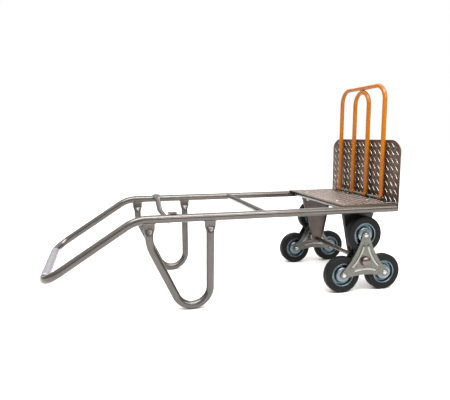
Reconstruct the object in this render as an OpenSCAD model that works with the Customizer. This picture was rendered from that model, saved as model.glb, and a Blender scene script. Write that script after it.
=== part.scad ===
// Stair-climbing hand truck lying in its carrier position: a bent tube frame with a
// fold-out nose extension at one end, loop legs and a handle at the other, and two
// three-wheeled stars on one axle. Millimetres. +Z is up, +X points at the nose plate
// and +Y to the left. The origin is on the ground, at the middle of the bounding box.

/* [Frame tube] */
// Outside diameter of the frame and leg tube
tube_d = 32; // [30:1:34]
// Wall thickness of the frame and leg tube
tube_wall = 2; // [1.5:0.5:3]
// Distance between the centre lines of the two rails
rail_spacing = 582; // [540:2:620]
// Height of the rails' centre lines above the ground
rail_z = 368; // [362:1:380]
// Length of the level rails, from the nose plate to the handle bend
deck_len = 1116; // [1060:2:1160]
// Level distance from the handle bend to the hand bar
handle_reach = 339; // [300:1:380]
// Drop from the rails to the hand bar
handle_drop = 219; // [180:1:240]
// Centre line radius of the bend between rail and handle
handle_bend_r = 150; // [100:5:180]
// Centre line radius of the handle's two corners
corner_r = 75; // [60:5:90]
// Outside diameter of the hand bar's grip
grip_d = 35; // [34:0.5:38]

/* [Legs] */
// Distance from the nose plate to the sloping branch's top
leg_back = 1068; // [1060:1:1076]
// Distance from the nose plate to the upright branch's top
leg_front = 832; // [822:1:842]
// Slope of the long branch, from vertical
leg_slope = 25.5; // [25:0.5:27]
// Centre line radius of the foot of the leg
leg_foot_r = 71; // [66:1:74]
// Inward lean of each leg
leg_lean = 1.8; // [0:0.2:3]
// Width of the flattened ends
flat_w = 44; // [40:1:46]

/* [Nose plate and base plate] */
// Width of both plates
plate_w = 592; // [580:2:610]
// Height of the nose plate's top edge above the ground
nose_top_z = 660; // [600:5:700]
// Length of the base plate along the rails
base_len = 258; // [240:2:280]
// Thickness of both plates
plate_t = 3; // [3:0.5:4]
// Width of the nose plate's cut corners
nose_cut_w = 47; // [30:1:50]
// Height of the nose plate's cut corners
nose_cut_h = 31; // [25:1:60]

/* [Nose extension] */
// Outside diameter of the extension's tube
loop_d = 20; // [18:1:22]
// Wall thickness of the extension's tube
loop_wall = 1.5; // [1:0.5:2]
// Height of the outer loop's top bar above the ground
loop_top_z = 902; // [860:2:920]
// Distance between the outer loop's legs
outer_loop_w = 372; // [360:2:380]
// Distance between the inner loop's legs
inner_loop_w = 119; // [110:1:126]
// Centre line radius of the outer loop's corners
loop_corner_r = 65; // [50:1:75]

/* [Wheels and stars] */
// Diameter of a wheel
wheel_d = 160; // [156:1:164]
// Width of a wheel
wheel_w = 40; // [38:1:42]
// Distance from the axle to a wheel's centre
arm_r = 115; // [113:1:117]
// Distance from the nose plate to the axle
star_back = 138.5; // [134:0.5:143]
// Distance from the truck's middle to each star's wheels
star_y = 254; // [252:1:258]
// Radius of the star plates' rounded arm ends
arm_end_r = 17; // [16:0.5:18]
// Distance from the axle to the middle of a star plate's hollow side
star_waist = 60; // [58:1:62]
// Diameter of the axle
axle_d = 20; // [20:1:20]

/* [Hidden] */
$fn = 96;
// Blends between two sections have few sides, and start a little inside both
hull_fn = 32;
hull_inset = 0.1;

tube_r = tube_d / 2;
loop_r = loop_d / 2;
axle_r = axle_d / 2;
half_track = rail_spacing / 2;
axle_z = wheel_d / 2 + arm_r / 2;
rail_top = rail_z + tube_r;

// The bounding box runs from the grip to the front wheel, and its middle is at X = 0.
x_low = -(deck_len + handle_reach) - grip_d / 2;
x_high = -star_back + arm_r * cos(30) + wheel_d / 2;
nose_x = -(x_low + x_high) / 2;

// Hairline joints between straight and bent stretches of one tube
joint_gap = 0.01;
joint_len = 3;
joint_skin = 0.3;

// Handle
handle_slope = atan(handle_drop / handle_reach);
handle_setback = handle_bend_r * tan(handle_slope / 2);
handle_run = norm([handle_reach, handle_drop]) - corner_r - handle_setback;
hand_bar_half = half_track - corner_r;
rail_end_gap = 1;
rail_cut_angle = 22;

// Legs, measured down from the rail's centre line
leg_drop = (rail_z - tube_r) / cos(leg_lean) + tube_r;
foot_depth = leg_drop - tube_r - leg_foot_r;
flat_t = 11;
flat_depth = 37;
round_depth = 62;
leg_span = leg_back - leg_front;
knee_r = 140;
// The sloping branch's top is cut a little low, to clear the start of the handle bend
rail_dip = 1.4;
knee_rise = ((leg_span - leg_foot_r) * cos(leg_slope) - leg_foot_r) / sin(leg_slope);
knee_depth = foot_depth - knee_rise;
knee_setback = knee_r * tan(leg_slope / 2);
slope_run = (leg_span - leg_foot_r) * sin(leg_slope) + knee_rise * cos(leg_slope) - knee_setback;

// Cross tubes: one dished for round loads, the others straight
cross_d = 25;
cross_r = cross_d / 2;
cross_wall = 1.5;
dish_back = 975;
dish_z = 329;
dish_flat_half = 120;
dish_bend_r = 90;
dish_slope = 23;
dish_run = 80;
dish_tab = [38, 44, 9];
middle_back = 600;
rear_cross_back = 215;
front_cross_back = 62;

// Axle brackets
bracket_t = 4;
bracket_top_z = rail_z - cross_r;
bracket_top_y = 216;
bracket_foot_r = 26;
bracket_half_w = 83;
bracket_lean = 6.1;
bracket_flange = 15;
bracket_shelf = 45;

// Plates
plate_bolt_y = 150;
bolt8_r = 4;
bolt_fit = 0.1;
bolt8_head = [7, 5.5, 3.5];
nut8 = [7.5, 6.5];
thread_show = 1.5;

// Star stack, measured out from the wheels' middle plane
star_gap = wheel_w / 2 + 3.5;
star_t = 3;
star_out = star_gap + star_t;
bolt12_r = 6;
run_fit = 0.05;
sleeve_r = 16;
bush_r = 12.5;
bush_flange_r = 17;
bush_flange_t = 1.5;
bush_len = 16;
end_play = 0.3;
washer_t = 1.5;
washer_r = 20;
cap_r = 21.5;
cap_h = 17;
cap_side_h = 10;
spacer_r = 14;
cap_y = star_y + star_out + bush_flange_t + end_play + washer_t;
spacer_end_y = star_y - star_out - bush_flange_t - end_play;
bolt_head = [9.5, 3.6];
bolt_dome_r = 14;
nut_r = 10.4;
nut_h = 10;
thread_end = 2;

// Wheels
rim_seat_r = 47.2;
bead_half_w = 15;
bead_top_r = 51;
shoulder_r = 9;
hub_r = 11.6;
hub_half_w = star_gap - 0.5;
rivet_circle_r = 40;
rivet_r = 2;
rivet_head = [2.6, 1.6];
sheet_t = 1.5;

// Extension pivot
tread_h = 1.2;
pivot_sleeve_r = 11;
pivot_sleeve_w = 26;
pivot_back = 14.5;
pivot_z = rail_top + plate_t + tread_h + pivot_sleeve_r + 0.8;
pivot_rod_r = 6;
lug_t = 4;
lug_r = 11.5;
lug_gap = 1;
lug_foot = [22, 32, 3];
pivot_nut = [9, 6];
rod_end_y = outer_loop_w / 2 + pivot_sleeve_w / 2 + lug_gap + lug_t + pivot_nut[1] + thread_end;

SIDES = ["left", "right"];
WHEELS = [["top", 90], ["front", -30], ["rear", 210]];
WHEEL_PARTS = ["tyre", "rim_discs", "roller_hub", "rim_rivets"];
STAR_PARTS = ["outer_plate", "inner_plate", "hub_sleeve", "hub_bushes", "wheel_bolts", "wheel_nuts"];
FRAME_PARTS = [
    "main_frame_tube", "handle_grip", "left_leg", "right_leg", "dished_cross_tube",
    "middle_cross_tube", "rear_axle_cross_tube", "front_axle_cross_tube",
    "left_axle_bracket", "right_axle_bracket", "axle", "axle_spacers", "axle_washers",
    "axle_caps", "base_plate", "nose_plate", "base_plate_bolts", "base_plate_nuts",
    "pivot_lugs", "pivot_rod", "pivot_nuts",
];
EXTENSION_PARTS = ["outer_loop", "inner_loop", "pivot_sleeves"];

// ---- Shared shapes -------------------------------------------------------------

// Points on an arc about c, from angle a0 to a1
function arc(c, r, a0, a1, n = 12) =
    [for (i = [0:n]) c + r * [cos(a0 + (a1 - a0) * i / n), sin(a0 + (a1 - a0) * i / n)]];

// Moves what is drawn from the nose plate's inner face to its place in the truck
module from_nose() {
    translate([nose_x, 0, 0]) children();
}

// Draws the left-hand piece as it is, and the right-hand one as its mirror image
module on_side(side) {
    if (side == "left") children();
    else mirror([0, 1, 0]) children();
}

module both_sides() {
    for (side = SIDES) on_side(side) children();
}

module ring(r, wall) {
    difference() {
        circle(r);
        circle(r - wall);
    }
}

// Straight stretch of tube along +X. Its children carry on from its end.
module straight(r, wall, len) {
    translate([joint_gap, 0, 0]) rotate([90, 0, 90]) linear_extrude(len - 2 * joint_gap) ring(r, wall);
    translate([len, 0, 0]) children();
}

// Thin ring inside the tube's wall that carries it across a hairline joint at the origin
module joint_ring(r, wall) {
    translate([-joint_len / 2, 0, 0]) rotate([90, 0, 90]) linear_extrude(joint_len)
        ring(r - joint_skin, wall - 2 * joint_skin);
}

// Bend that sets out along +X and turns towards +Y, with a joint at each end. Its
// children carry on from its end.
module bend(r, wall, bend_r, angle) {
    trim = asin(joint_gap / bend_r);
    joint_ring(r, wall);
    translate([0, bend_r, 0]) rotate([0, 0, trim - 90])
        rotate_extrude(angle = angle - 2 * trim, $fn = 180) translate([bend_r, 0]) ring(r, wall);
    translate([0, bend_r, 0]) rotate([0, 0, angle]) translate([0, -bend_r, 0]) {
        joint_ring(r, wall);
        children();
    }
}

// Plate with its outline in X and Z, from y0 to y1
module slab_y(y0, y1) {
    translate([0, y1, 0]) rotate([90, 0, 0]) linear_extrude(y1 - y0) children();
}

// Turned shape about the Y axis, from a profile of radius and Y
module turned_y() {
    rotate([-90, 0, 0]) rotate_extrude() children();
}

// Cylinder along Y from y0 to y1
module rod_y(r, y0, y1, sides = $fn) {
    translate([0, y1, 0]) rotate([90, 0, 0]) cylinder(r = r, h = y1 - y0, $fn = sides);
}

// Tube along Y from y0 to y1
module tube_y(r_out, r_in, y0, y1, sides = $fn) {
    difference() {
        rod_y(r_out, y0, y1, sides);
        rod_y(r_in, y0 - 1, y1 + 1);
    }
}

// Section of a flattened tube: two half rounds and the flat between them
module flat_section(w, t) {
    for (s = [-1, 1]) translate([s * (w - t) / 2, 0]) circle(t / 2);
    square([w - t, t], center = true);
}

// ---- Frame ---------------------------------------------------------------------

module at_hand_bar() {
    translate([-(deck_len + handle_reach), 0, rail_z - handle_drop]) children();
}

// Half of the frame, from the middle of the hand bar to the nose
module half_frame() {
    at_hand_bar()
        rotate([0, -handle_slope, 0]) rotate([0, 0, 90]) mirror([0, 1, 0])
            straight(tube_r, tube_wall, hand_bar_half)
                bend(tube_r, tube_wall, corner_r, 90)
                    straight(tube_r, tube_wall, handle_run)
                        rotate([-90, 0, 0]) bend(tube_r, tube_wall, handle_bend_r, handle_slope)
                            straight(tube_r, tube_wall, deck_len - handle_setback - rail_end_gap);
}

module main_frame_tube() {
    color("#9a9795") from_nose() difference() {
        union() {
            both_sides() half_frame();
            at_hand_bar() rotate([0, 0, 90]) joint_ring(tube_r, tube_wall);
        }
        // The rails' ends slope back from the nose plate
        translate([-rail_end_gap, 0, rail_z - tube_r]) rotate([0, -rail_cut_angle, 0])
            translate([0, -half_track - 2 * tube_r, -2 * tube_r])
                cube([2 * tube_r, rail_spacing + 4 * tube_r, 6 * tube_r]);
    }
}

module handle_grip() {
    color("#c9c6cf") from_nose() at_hand_bar()
        tube_y(grip_d / 2, tube_r, -hand_bar_half + 4, hand_bar_half - 4);
}

// Flattened tube end, from the rail's centre line down to the round tube
module flattened_end() {
    translate([0, 0, -flat_depth]) linear_extrude(flat_depth) flat_section(flat_w, flat_t);
    hull() {
        translate([0, 0, -flat_depth]) linear_extrude(1, $fn = hull_fn)
            flat_section(flat_w - 2 * hull_inset, flat_t - 2 * hull_inset);
        translate([0, 0, -round_depth + joint_gap])
            cylinder(r = tube_r - hull_inset, h = joint_len, $fn = hull_fn);
    }
    translate([0, 0, -round_depth]) rotate([0, 90, 0]) joint_ring(tube_r, tube_wall);
}

// One leg in its own upright plane, hung from the rail's centre line
module leg_loop() {
    for (x = [-leg_back, -leg_front]) translate([x, 0, 0]) flattened_end();
    translate([-leg_back, 0, -round_depth]) rotate([0, 90, 0]) rotate([90, 0, 0])
        straight(tube_r, tube_wall, knee_depth - knee_setback - round_depth)
            bend(tube_r, tube_wall, knee_r, leg_slope)
                straight(tube_r, tube_wall, slope_run)
                    bend(tube_r, tube_wall, leg_foot_r, 180 - leg_slope)
                        straight(tube_r, tube_wall, foot_depth - round_depth);
}

module leg(side) {
    color("#938f8d") from_nose() on_side(side) difference() {
        translate([0, half_track, rail_z]) rotate([-leg_lean, 0, 0]) leg_loop();
        translate([-leg_front + flat_w, half_track, rail_z]) rotate([0, -90, 0])
            cylinder(r = tube_r, h = 2 * flat_w);
        translate([-leg_back + flat_w, half_track, rail_z]) rotate([0, -90 - rail_dip, 0])
            cylinder(r = tube_r, h = 2 * flat_w);
    }
}

// Half of the dished tube, from its low middle to its flattened end on the rail
module half_dish() {
    rise_y = dish_flat_half + dish_bend_r * sin(dish_slope) + dish_run * cos(dish_slope);
    rise_z = dish_z + dish_bend_r * (1 - cos(dish_slope)) + dish_run * sin(dish_slope);
    translate([-dish_back, 0, dish_z]) rotate([0, 0, 90]) rotate([90, 0, 0])
        straight(cross_r, cross_wall, dish_flat_half)
            bend(cross_r, cross_wall, dish_bend_r, dish_slope)
                straight(cross_r, cross_wall, dish_run);
    tab_y = half_track - dish_tab[1] + 6;
    translate([-dish_back, rise_y, rise_z]) rotate([dish_slope, 0, 0]) rotate([0, 0, 90])
        joint_ring(cross_r, cross_wall);
    hull() {
        translate([-dish_back, rise_y, rise_z]) rotate([dish_slope - 90, 0, 0])
            translate([0, 0, joint_gap]) cylinder(r = cross_r - hull_inset, h = 1, $fn = hull_fn);
        translate([hull_inset - dish_back - dish_tab[0] / 2, tab_y, rail_top - 3 + hull_inset])
            cube([dish_tab[0] - 2 * hull_inset, 1, dish_tab[2] - 2 * hull_inset]);
    }
    translate([-dish_back - dish_tab[0] / 2, tab_y, rail_top - 3]) cube(dish_tab);
}

module dished_cross_tube() {
    color("#aeabac") from_nose() {
        both_sides() difference() {
            half_dish();
            translate([-dish_back - dish_tab[0], half_track, rail_z]) rotate([0, 90, 0])
                cylinder(r = tube_r, h = 2 * dish_tab[0]);
        }
        translate([-dish_back, 0, dish_z]) rotate([0, 0, 90]) joint_ring(cross_r, cross_wall);
    }
}

// Straight cross tube, coped onto both rails
module cross_tube(back) {
    color("#938f8d") from_nose() difference() {
        translate([-back, 0, rail_z]) tube_y(cross_r, cross_r - cross_wall, -half_track, half_track);
        for (s = [-1, 1]) translate([-back - cross_d, s * half_track, rail_z]) rotate([0, 90, 0])
            cylinder(r = tube_r, h = 2 * cross_d);
        if (back < base_len)
            plate_bolt_places() cylinder(r = bolt8_r + bolt_fit, h = 4 * cross_d, center = true);
    }
}

// ---- Axle and its brackets -----------------------------------------------------

bracket_drop = bracket_top_z - axle_z;
// Direction in which the right-hand sloping side touches the round foot
bracket_side = atan(bracket_drop / bracket_half_w)
    - acos(bracket_foot_r / norm([bracket_half_w, bracket_drop]));

// Bracket outline below its top edge: straight sides that run down to a round foot
module bracket_outline() {
    polygon(concat(
        [[-bracket_half_w, 0], [bracket_half_w, 0]],
        arc([0, -bracket_drop], bracket_foot_r, bracket_side, -180 - bracket_side, 24)
    ));
}

// Strip along the right-hand sloping side, where the edge is folded
module bracket_fold() {
    out = [cos(bracket_side), sin(bracket_side)];
    low = [0, -bracket_drop] + bracket_foot_r * out;
    high = [bracket_half_w, 0] * 0.97 + low * 0.03;
    skin = joint_skin * out;
    fold = bracket_t * out;
    polygon([high - skin, low - skin, low - fold, high - fold]);
}

module axle_bracket(side) {
    color("#5f5755") from_nose() on_side(side) translate([-star_back, 0, 0]) difference() {
        union() {
            translate([0, bracket_top_y, bracket_top_z]) rotate([-bracket_lean, 0, 0]) {
                slab_y(-bracket_t, 0) bracket_outline();
                slab_y(-bracket_flange, 0) {
                    bracket_fold();
                    mirror([1, 0]) bracket_fold();
                }
            }
            // Top shelf, welded under the two axle cross tubes
            translate([1 - bracket_half_w, bracket_top_y - bracket_shelf, bracket_top_z - bracket_t])
                cube([2 * bracket_half_w - 2, bracket_shelf, bracket_t]);
        }
        translate([0, 0, axle_z]) rod_y(axle_r, 0, star_y);
    }
}

module at_axle() {
    from_nose() translate([-star_back, 0, axle_z]) children();
}

module axle() {
    color("#57504e") at_axle() rod_y(axle_r, -cap_y - cap_side_h, cap_y + cap_side_h);
}

module axle_spacers() {
    y_in = bracket_top_y - (bracket_drop - spacer_r) * tan(bracket_lean);
    color("#7b7573") at_axle() both_sides() tube_y(spacer_r, axle_r, y_in, spacer_end_y);
}

module axle_washers() {
    color("#b9bab8") at_axle() both_sides() tube_y(washer_r, axle_r, cap_y - washer_t, cap_y);
}

// Domed cap pressed on the axle's end: a short cylinder under a shallow dome
module axle_caps() {
    dome_rise = cap_h - cap_side_h;
    dome_r = (cap_r * cap_r + dome_rise * dome_rise) / (2 * dome_rise);
    color("#a8948c") at_axle() both_sides() translate([0, cap_y, 0]) turned_y() difference() {
        intersection() {
            square([cap_r, cap_h]);
            translate([0, cap_h - dome_r]) circle(dome_r, $fn = 180);
        }
        square([axle_r, cap_side_h]);
    }
}

// ---- Stars ---------------------------------------------------------------------

// Star outline: three round arm ends joined by hollow sides of one large radius,
// which touches both ends beside it
module star_outline() {
    reach = arm_r * cos(30);
    drop = arm_r / 2;
    side_r = (reach * reach + pow(star_waist - drop, 2) - arm_end_r * arm_end_r)
        / (2 * (arm_end_r - star_waist + drop));
    side_c = side_r + star_waist;
    meet = atan((side_c - drop) / reach);
    side = arc([0, -side_c], side_r, 180 - meet, meet, 14);
    end = arc([reach, -drop], arm_end_r, 180 + meet, 480 - meet, 16);
    third = concat([for (i = [1:len(side) - 2]) side[i]], end);
    polygon([for (turn = [0, 120, 240]) for (p = third)
        [p[0] * cos(turn) - p[1] * sin(turn), p[0] * sin(turn) + p[1] * cos(turn)]]);
}

// Puts its children at a star's middle plane, on the axle
module at_star(side) {
    on_side(side) at_axle() translate([0, star_y, 0]) children();
}

module at_wheels() {
    for (w = WHEELS) translate(arm_r * [cos(w[1]), 0, sin(w[1])]) children();
}

module star_plate(side, y0) {
    color("#a5a59f") at_star(side) difference() {
        slab_y(y0, y0 + star_t) star_outline();
        rod_y(bush_r, y0 - 1, y0 + star_t + 1);
        at_wheels() rod_y(bolt12_r, y0 - 1, y0 + star_t + 1);
    }
}

module hub_sleeve(side) {
    color("#8d8b88") at_star(side) tube_y(sleeve_r, bush_r, -star_gap, star_gap);
}

// Flanged bush, pressed into each end of the hub sleeve
module hub_bushes(side) {
    color("#c9c4b2") at_star(side) for (s = [-1, 1]) scale([1, s, 1]) {
        tube_y(bush_r, axle_r + run_fit, star_out - bush_len, star_out);
        tube_y(bush_flange_r, axle_r + run_fit, star_out, star_out + bush_flange_t);
    }
}

// Button-headed bolt through both plates, with its head outside
module wheel_bolts(side) {
    color("#c4c6c4") at_star(side) at_wheels() {
        rod_y(bolt12_r, -star_out - nut_h - thread_end, star_out);
        translate([0, star_out, 0]) turned_y() intersection() {
            square(bolt_head);
            translate([0, bolt_head[1] - bolt_dome_r]) circle(bolt_dome_r);
        }
    }
}

module wheel_nuts(side) {
    color("#b4b6b4") at_star(side) at_wheels()
        tube_y(nut_r, bolt12_r, -star_out - nut_h, -star_out, 6);
}

// ---- Wheels --------------------------------------------------------------------

module at_wheel(side, angle) {
    at_star(side) translate(arm_r * [cos(angle), 0, sin(angle)]) children();
}

// Solid tyre: flat tread, round shoulders and a narrow bead between the rim's lips
module tyre(side, angle) {
    shoulder_c = wheel_d / 2 - shoulder_r;
    tread_half = wheel_w / 2 - shoulder_r;
    color("#2b2b2d") at_wheel(side, angle) turned_y() {
        translate([rim_seat_r, -bead_half_w]) square([bead_top_r - rim_seat_r + 1, 2 * bead_half_w]);
        translate([bead_top_r, -wheel_w / 2]) square([shoulder_c - bead_top_r, wheel_w]);
        translate([bead_top_r, -tread_half]) square([wheel_d / 2 - bead_top_r, 2 * tread_half]);
        for (s = [-1, 1]) translate([shoulder_c, s * tread_half]) circle(shoulder_r);
    }
}

// Two pressed discs, back to back: a raised boss round the hub, a groove and a rolled lip
module rim_discs(side, angle) {
    color("#aab7c0") at_wheel(side, angle) for (s = [-1, 1]) scale([1, s, 1]) difference() {
        turned_y() polygon([
            [hub_r, 20.5], [30, 20.5], [33.5, 17], [35.8, 3.2], [36.6, sheet_t], [43.2, sheet_t],
            [43.9, 3], [45.3, 14.6], [46.3, 16.6], [50.6, bead_half_w + 0.2 + sheet_t],
            [50.6, bead_half_w + 0.2], [46.9, bead_half_w + 0.2], [45.4, 2.4], [43.6, 0],
            [36.2, 0], [34.4, 2.4], [32.2, 16.2], [29.4, 19], [hub_r, 19],
        ]);
        at_rivets() rod_y(rivet_r, -1, 2 * sheet_t);
    }
}

module at_rivets() {
    for (a = [45:90:359]) translate(rivet_circle_r * [cos(a), 0, sin(a)]) children();
}

module roller_hub(side, angle) {
    color("#9ea1a2") at_wheel(side, angle) tube_y(hub_r, bolt12_r + run_fit, -hub_half_w, hub_half_w);
}

module rim_rivets(side, angle) {
    color("#d5dadd") at_wheel(side, angle) at_rivets() {
        rod_y(rivet_r, -sheet_t, sheet_t);
        for (s = [-1, 1]) scale([1, s, 1])
            rod_y(rivet_head[0], sheet_t, sheet_t + rivet_head[1]);
    }
}

// ---- Plates --------------------------------------------------------------------

// Places of the four bolts that hold the base plate to the axle cross tubes
module plate_bolt_places() {
    for (back = [rear_cross_back, front_cross_back], s = [-1, 1])
        translate([-back, s * plate_bolt_y, rail_z]) children();
}

module base_plate() {
    color("#9c9793") from_nose() difference() {
        translate([-base_len, -plate_w / 2, rail_top]) cube([base_len, plate_w, plate_t]);
        plate_bolt_places() cylinder(r = bolt8_r + bolt_fit, h = 4 * tube_r);
    }
}

// Upright plate with two cut corners
module nose_plate() {
    foot_z = rail_z - tube_r - 2;
    half_w = plate_w / 2;
    color("#8f8781") from_nose() rotate([90, 0, 90]) linear_extrude(plate_t) polygon([
        [-half_w, foot_z], [half_w, foot_z], [half_w, nose_top_z - nose_cut_h],
        [half_w - nose_cut_w, nose_top_z], [nose_cut_w - half_w, nose_top_z],
        [-half_w, nose_top_z - nose_cut_h],
    ]);
}

module base_plate_bolts() {
    head_z = tube_r + plate_t;
    end_z = -cross_r - nut8[1] - thread_show;
    color("#c4c6c4") from_nose() plate_bolt_places() {
        translate([0, 0, end_z]) cylinder(r = bolt8_r, h = head_z - end_z);
        translate([0, 0, head_z]) cylinder(r1 = bolt8_head[0], r2 = bolt8_head[1], h = bolt8_head[2]);
    }
}

module base_plate_nuts() {
    color("#b4b6b4") from_nose() plate_bolt_places() translate([0, 0, -cross_r - nut8[1]]) difference() {
        cylinder(r = nut8[0], h = nut8[1], $fn = 6);
        translate([0, 0, -1]) cylinder(r = bolt8_r, h = nut8[1] + 2);
    }
}

// ---- Nose extension ------------------------------------------------------------

loop_leg_ys = [-outer_loop_w / 2, -inner_loop_w / 2, inner_loop_w / 2, outer_loop_w / 2];

module at_pivot() {
    from_nose() translate([-pivot_back, 0, pivot_z]) children();
}

// Upside-down U of tube that stands on the pivot
module hoop(width, top, bend_r) {
    color("#d98b12") at_pivot() difference() {
        translate([0, width / 2, 0]) rotate([0, -90, 0]) rotate([180, 0, 0])
            straight(loop_r, loop_wall, top - bend_r)
                bend(loop_r, loop_wall, bend_r, 90)
                    straight(loop_r, loop_wall, width - 2 * bend_r)
                        bend(loop_r, loop_wall, bend_r, 90)
                            straight(loop_r, loop_wall, top - bend_r);
        rod_y(pivot_sleeve_r, -width, width);
    }
}

module outer_loop() {
    hoop(outer_loop_w, loop_top_z - pivot_z, loop_corner_r);
}

module inner_loop() {
    hoop(inner_loop_w, loop_top_z - pivot_z - loop_d + 0.3, inner_loop_w / 2 - 0.5);
}

// Short tubes across the loops' feet, which turn on the pivot rod
module pivot_sleeves() {
    color("#d98b12") at_pivot() for (y = loop_leg_ys)
        tube_y(pivot_sleeve_r, pivot_rod_r + run_fit, y - pivot_sleeve_w / 2, y + pivot_sleeve_w / 2);
}

// Upright ears beside each leg, with their feet welded to the base plate
module pivot_lugs() {
    foot_z = rail_top + plate_t - pivot_z;
    color("#8f8b88") at_pivot() both_sides() for (y = [inner_loop_w / 2, outer_loop_w / 2])
        translate([0, y + pivot_sleeve_w / 2 + lug_gap, 0]) {
            difference() {
                slab_y(0, lug_t)
                    polygon(concat([[-lug_r, foot_z], [lug_r, foot_z]], arc([0, 0], lug_r, 0, 180, 20)));
                rod_y(pivot_rod_r + run_fit, -1, lug_t + 1);
            }
            translate([-lug_foot[0] / 2, lug_t, foot_z]) cube(lug_foot);
        }
}

module pivot_rod() {
    color("#b9bab8") at_pivot() rod_y(pivot_rod_r, -rod_end_y, rod_end_y);
}

module pivot_nuts() {
    color("#b4b6b4") at_pivot() both_sides()
        tube_y(pivot_nut[0], pivot_rod_r, rod_end_y - thread_end - pivot_nut[1], rod_end_y - thread_end, 6);
}

// ---- Choice of node ------------------------------------------------------------

main_frame_tube();
handle_grip();
leg("left");  // left_leg
leg("right");  // right_leg
dished_cross_tube();
cross_tube(middle_back);  // middle_cross_tube
cross_tube(rear_cross_back);  // rear_axle_cross_tube
cross_tube(front_cross_back);  // front_axle_cross_tube
axle_bracket("left");  // left_axle_bracket
axle_bracket("right");  // right_axle_bracket
axle();
axle_spacers();
axle_washers();
axle_caps();
base_plate();
nose_plate();
base_plate_bolts();
base_plate_nuts();
pivot_lugs();
pivot_rod();
pivot_nuts();
outer_loop();
inner_loop();
pivot_sleeves();

for (s = SIDES) {
    star_plate(s, star_gap);
    star_plate(s, -star_out);
    hub_sleeve(s);
    hub_bushes(s);
    wheel_bolts(s);
    wheel_nuts(s);
    for (w = WHEELS) {
        tyre(s, w[1]);
        rim_discs(s, w[1]);
        roller_hub(s, w[1]);
        rim_rivets(s, w[1]);
    }
}
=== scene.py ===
"""Stair-climbing hand truck in its carrier position: silver tube frame on loop legs, rolled
tread plates, an orange fold-out nose extension and two three-wheeled stars on one axle.

Shapes are worked out in millimetres as grids of points and become metres in the meshes.
X runs towards the nose plate, Y to the truck's left and Z up.
"""
import math

import bmesh
import bpy
import mathutils
import numpy as np
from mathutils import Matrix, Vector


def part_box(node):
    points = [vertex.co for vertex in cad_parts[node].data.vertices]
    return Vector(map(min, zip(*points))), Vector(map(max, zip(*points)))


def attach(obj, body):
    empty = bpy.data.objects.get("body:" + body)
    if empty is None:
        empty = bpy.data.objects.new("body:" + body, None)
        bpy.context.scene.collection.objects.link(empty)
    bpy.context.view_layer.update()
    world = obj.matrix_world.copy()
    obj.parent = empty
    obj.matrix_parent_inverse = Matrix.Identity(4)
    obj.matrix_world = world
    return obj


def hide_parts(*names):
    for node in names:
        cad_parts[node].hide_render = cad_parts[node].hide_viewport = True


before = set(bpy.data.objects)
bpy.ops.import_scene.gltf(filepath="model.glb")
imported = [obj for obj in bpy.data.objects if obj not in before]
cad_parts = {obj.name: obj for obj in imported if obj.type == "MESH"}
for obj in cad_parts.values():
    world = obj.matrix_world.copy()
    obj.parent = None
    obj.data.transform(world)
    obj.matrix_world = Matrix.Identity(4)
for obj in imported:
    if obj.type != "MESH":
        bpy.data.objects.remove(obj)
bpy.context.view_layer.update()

MM = 0.001
SIDES = {"left": 1, "right": -1}
WHEELS = {"top": 90, "front": -30, "rear": 210}


def corners_of(node):
    """Lowest and highest corners of a CAD node, in millimetres."""
    low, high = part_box(node)
    return np.array(low) / MM, np.array(high) / MM


def middle_of(node):
    """Middle of a CAD node's box, in millimetres."""
    low, high = corners_of(node)
    return (low + high) / 2


# ---- Measures taken from the frame, and the maker's own sizes, in millimetres -------

NOSE = corners_of("nose_plate")[0][0]
RAIL_Y, RAIL_Z = 291.0, 368.0
TUBE_R, TUBE_WALL = 16.0, 2.0
RAIL_TOP = RAIL_Z + TUBE_R
AXLE = middle_of("axle")
STAR_Y = middle_of("left_top_tyre")[1]
STAR_GAP, STAR_T = 23.5, 3.0
PIVOT = middle_of("pivot_rod")


# ---- Arrays -------------------------------------------------------------------------


def unit(v):
    """Each vector divided by its length."""
    return v / np.linalg.norm(v, axis=-1, keepdims=True)


def ease(t):
    """Rises from 0 to 1 as t does, level at both ends: 3 t squared less 2 t cubed."""
    t = np.clip(t, 0, 1)
    return t * t * (3 - 2 * t)


def round_section(radius, sides=48):
    """Circle as (sides, 2): radius times cosine and sine of equal turns."""
    turn = np.linspace(0, 2 * np.pi, sides, endpoint=False)
    return radius * np.stack([np.cos(turn), np.sin(turn)], axis=-1)


def in_equal_steps(edge, count):
    """A closed line's points again, as so many at equal distances along it."""
    gone = distances(edge)
    at = np.linspace(0, gone[-1], count, endpoint=False)
    return np.stack([np.interp(at, gone, edge[:, k]) for k in (0, 1)], axis=-1)


def flat_section(width, thickness, sides=48):
    """Flattened tube as (sides, 2): two half circles joined by straights, in equal steps
    round its edge, starting at the middle of one half circle."""
    turn = np.linspace(-np.pi / 2, np.pi / 2, 40)
    cap = thickness / 2 * np.stack([np.cos(turn), np.sin(turn)], axis=-1)
    cap[:, 0] += (width - thickness) / 2
    return in_equal_steps(np.vstack([cap[20:], -cap, cap[:21]]), sides)


def bent(corners, radii, step=5.0):
    """Path of straight runs joined by arcs: each corner is replaced by an arc of its radius
    that touches both runs, in steps of so many degrees."""
    corners = np.array(corners, float)
    path = [corners[:1]]
    for before, corner, after, radius in zip(corners[:-2], corners[1:-1], corners[2:], radii):
        into, out = unit(corner - before), unit(after - corner)
        angle = math.acos(np.clip(into @ out, -1, 1))
        inward = unit(out - into * (into @ out))
        turn = np.linspace(0, angle, max(4, round(math.degrees(angle) / step) + 1))[:, None]
        start = corner - into * radius * math.tan(angle / 2)
        path.append(start + radius * (into * np.sin(turn) + inward * (1 - np.cos(turn))))
    path.append(corners[-1:])
    return np.vstack(path)


def distances(path):
    """Running sum of the lengths of a path's steps, from 0."""
    return np.concatenate([[0], np.cumsum(np.linalg.norm(np.diff(path, axis=0), axis=1))])


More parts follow.
